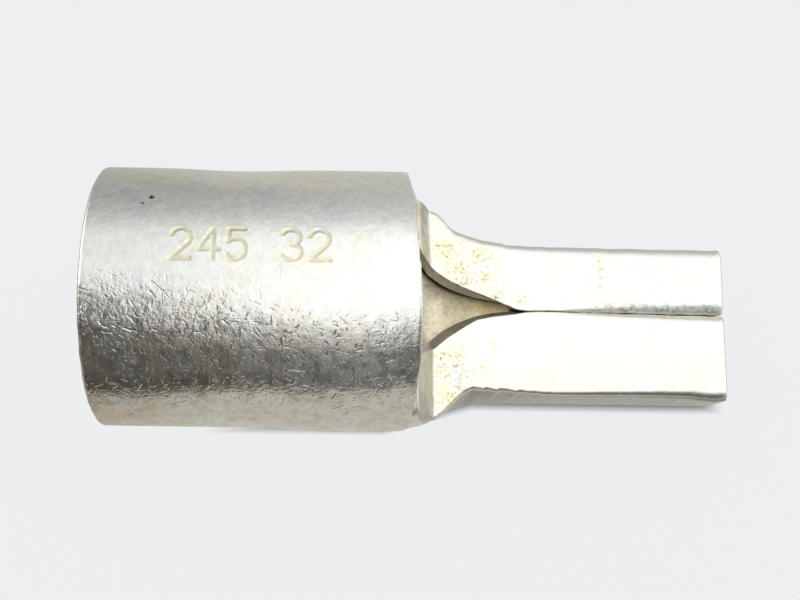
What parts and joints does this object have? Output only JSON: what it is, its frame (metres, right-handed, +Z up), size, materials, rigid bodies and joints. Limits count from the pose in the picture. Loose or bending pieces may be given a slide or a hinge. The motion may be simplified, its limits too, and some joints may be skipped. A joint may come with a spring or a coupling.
{
  "type": "pin terminal",
  "caption": "Tubular crimp terminal in tinned copper: a round barrel for a stranded conductor, sawn and folded down past a sight window into a flat pin with a top seam.",
  "frame": {"origin": "on the bore axis at the barrel's mouth", "axes": "+X along the bore axis towards the pin, +Z up, square to the pin's flat top"},
  "size_m": [0.0845, 0.0328, 0.032],
  "materials": {
    "tinned_copper": "electro-tinned copper, tumbled satin"
  },
  "bodies": {
    "root": {"terminal": "tinned_copper"}
  },
  "joints": []
}
